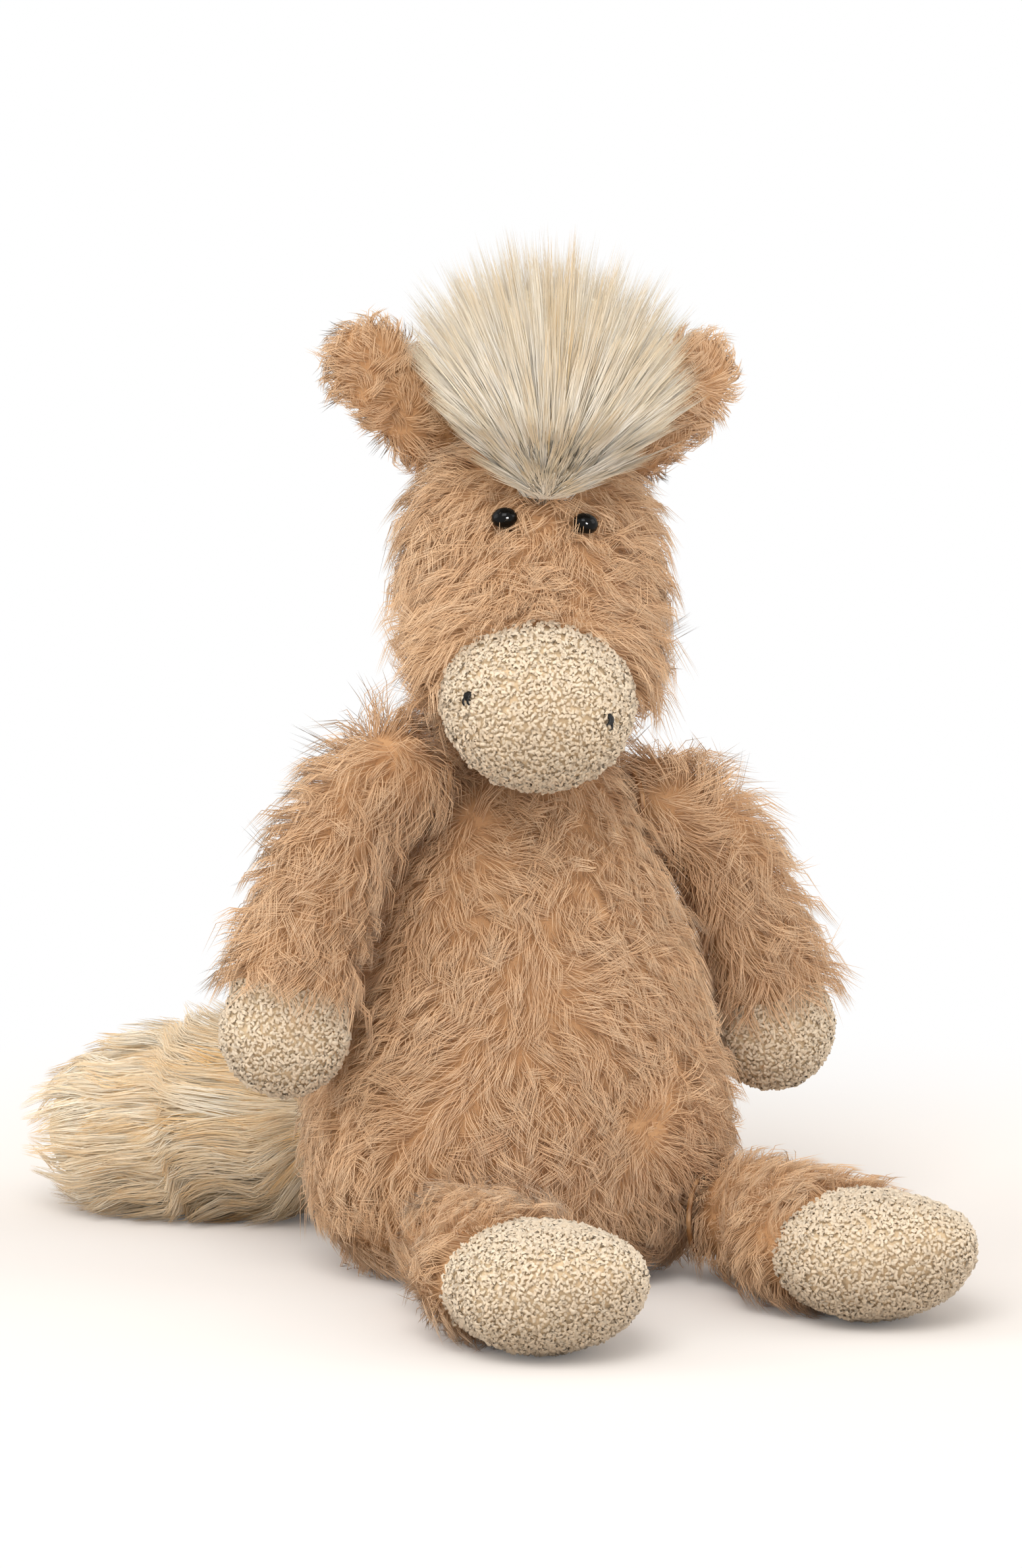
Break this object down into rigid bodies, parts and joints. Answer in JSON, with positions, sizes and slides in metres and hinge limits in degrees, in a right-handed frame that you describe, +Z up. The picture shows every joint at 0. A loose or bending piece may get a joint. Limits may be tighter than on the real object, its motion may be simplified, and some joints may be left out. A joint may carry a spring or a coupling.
{
  "type": "plush horse",
  "caption": "Seated plush horse with long tan fur, cream looped muzzle, hooves and feet, a tall pale mane and a bushy tail; the stuffed head, arms, legs, ears and tail move on their seams",
  "frame": {"origin": "centre of the flat seat under the body, on the floor", "axes": "Z up, the body faces -Y, the toy's left is +X"},
  "size_m": [0.2207, 0.321, 0.3148],
  "materials": {
    "tan_fur": "long soft pile",
    "cream_loops": "curly looped pile",
    "mane_hair": "long straight hair",
    "filling": "loose fibre",
    "bean_bag": "woven bag of pellets",
    "backing": "woven",
    "black_thread": "satin thread",
    "tan_thread": "matte thread",
    "black_plastic": "polished",
    "washer_plastic": "moulded"
  },
  "bodies": {
    "body": {"body_cover": "tan_fur", "body_stuffing": "filling", "bean_pouch": "bean_bag"},
    "neck_seam": {"neck_thread": "tan_thread"},
    "head": {"head_cover": "tan_fur", "head_stuffing": "filling", "muzzle_cover": "cream_loops", "eye_left": "black_plastic", "eye_right": "black_plastic", "eye_washer_left": "washer_plastic", "eye_washer_right": "washer_plastic", "nostril_left": "black_thread", "nostril_right": "black_thread", "mane_backing": "backing", "mane_hair": "mane_hair"},
    "tail": {"tail_core": "backing", "tail_hair": "mane_hair"},
    "shoulder_seam_left": {"shoulder_thread_left": "tan_thread"},
    "arm_left": {"arm_cover_left": "tan_fur", "arm_stuffing_left": "filling", "hoof_cover_left": "cream_loops"},
    "leg_left": {"leg_cover_left": "tan_fur", "leg_stuffing_left": "filling", "foot_cover_left": "cream_loops", "hip_thread_left": "tan_thread"},
    "ear_left": {"ear_front_left": "tan_fur", "ear_back_left": "tan_fur"},
    "shoulder_seam_right": {"shoulder_thread_right": "tan_thread"},
    "arm_right": {"arm_cover_right": "tan_fur", "arm_stuffing_right": "filling", "hoof_cover_right": "cream_loops"},
    "leg_right": {"leg_cover_right": "tan_fur", "leg_stuffing_right": "filling", "foot_cover_right": "cream_loops", "hip_thread_right": "tan_thread"},
    "ear_right": {"ear_front_right": "tan_fur", "ear_back_right": "tan_fur"}
  },
  "joints": [
    {"name": "head_turn", "type": "hinge", "parent": "body", "child": "neck_seam", "pos_m": [0.004, 0.006, 0.187], "axis": [0, 0, 1], "range_deg": [-3, 48], "stiffness_Nm_per_rad": 0.5},
    {"name": "head_nod", "type": "hinge", "parent": "neck_seam", "child": "head", "pos_m": [0.004, 0.006, 0.187], "axis": [-0.9239, 0.3827, 0], "range_deg": [-3, 28], "stiffness_Nm_per_rad": 0.5},
    {"name": "tail_swing", "type": "hinge", "parent": "body", "child": "tail", "pos_m": [-0.006, 0.066, 0.038], "axis": [0, 0, 1], "range_deg": [-75, 15]},
    {"name": "arm_lift_left", "type": "hinge", "parent": "body", "child": "shoulder_seam_left", "pos_m": [0.046, -0.006, 0.146], "axis": [0, -1, 0], "range_deg": [0, 80]},
    {"name": "arm_swing_left", "type": "hinge", "parent": "shoulder_seam_left", "child": "arm_left", "pos_m": [0.046, -0.006, 0.146], "axis": [-1, 0, 0], "range_deg": [-45, 75]},
    {"name": "leg_raise_left", "type": "hinge", "parent": "body", "child": "leg_left", "pos_m": [0.05, -0.06, 0.0215], "axis": [-1, 0, 0], "range_deg": [0, 45]},
    {"name": "ear_fold_left", "type": "hinge", "parent": "head", "child": "ear_left", "pos_m": [0.04252, 0.00938, 0.25239], "axis": [0.7129, -0.2953, -0.6361], "range_deg": [-30, 30], "stiffness_Nm_per_rad": 0.01},
    {"name": "arm_lift_right", "type": "hinge", "parent": "body", "child": "shoulder_seam_right", "pos_m": [-0.046, -0.006, 0.1605], "axis": [0, 1, 0], "range_deg": [0, 80]},
    {"name": "arm_swing_right", "type": "hinge", "parent": "shoulder_seam_right", "child": "arm_right", "pos_m": [-0.046, -0.006, 0.1605], "axis": [-1, 0, 0], "range_deg": [-45, 75]},
    {"name": "leg_raise_right", "type": "hinge", "parent": "body", "child": "leg_right", "pos_m": [-0.05, -0.06, 0.0215], "axis": [-1, 0, 0], "range_deg": [0, 45]},
    {"name": "ear_fold_right", "type": "hinge", "parent": "head", "child": "ear_right", "pos_m": [-0.011, 0.03155, 0.25695], "axis": [0.7129, -0.2953, 0.6361], "range_deg": [-30, 30], "stiffness_Nm_per_rad": 0.01}
  ]
}
